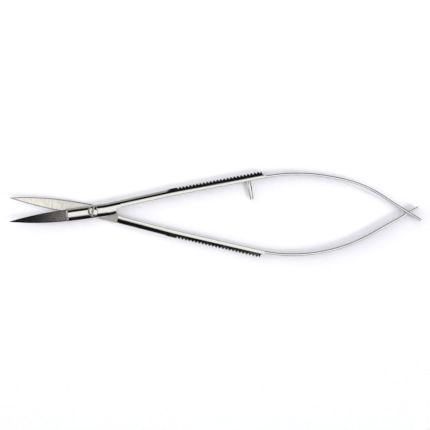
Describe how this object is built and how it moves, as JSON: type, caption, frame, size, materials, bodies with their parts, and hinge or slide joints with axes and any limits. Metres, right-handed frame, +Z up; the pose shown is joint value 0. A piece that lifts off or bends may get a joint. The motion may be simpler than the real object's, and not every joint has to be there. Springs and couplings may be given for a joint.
{
  "type": "cuticle scissors",
  "caption": "Squeeze-action cuticle scissors: crossed steel levers with curved pointed blades, toothed half-round grips and a hooked bow of leaf springs that opens them.",
  "frame": {"origin": "on the pivot axis, level with the table that the scissors lie on", "axes": "+X along the centre line from the blades to the spring tail, +Y to the front lever's arm, +Z up along the pivot screw"},
  "size_m": [0.119, 0.0252, 0.0046],
  "materials": {
    "polished_steel": "polished stainless steel, ground satin on the blades",
    "screw_steel": "turned and polished stainless steel",
    "spring_steel": "rolled and polished spring steel strip"
  },
  "bodies": {
    "front_half": {"front_blade_arm": "polished_steel", "stop_pin": "screw_steel"},
    "rear_half": {"rear_blade_arm": "polished_steel", "pivot_screw": "screw_steel"},
    "slotted_leaf": {"slotted_leaf_spring": "spring_steel"},
    "hooked_leaf": {"hooked_leaf_spring": "spring_steel"}
  },
  "joints": [
    {"name": "blade_pivot", "type": "hinge", "parent": "front_half", "child": "rear_half", "pos_m": [0, 0, 0], "axis": [0, 0, 1], "range_deg": [0, 17], "stiffness_Nm_per_rad": 0.25},
    {"name": "slotted_leaf_root", "type": "hinge", "parent": "front_half", "child": "slotted_leaf", "pos_m": [0.05037, 0.011, 0], "axis": [0, 0, 1], "range_deg": [0, 19]},
    {"name": "hooked_leaf_root", "type": "hinge", "parent": "rear_half", "child": "hooked_leaf", "pos_m": [0.05037, -0.011, 0], "axis": [0, 0, 1], "range_deg": [-19, 0]}
  ],
  "couplings": [
    {"joint": "slotted_leaf_root", "follows": "blade_pivot", "ratio": 1.112},
    {"joint": "hooked_leaf_root", "follows": "blade_pivot", "ratio": -1.112}
  ]
}
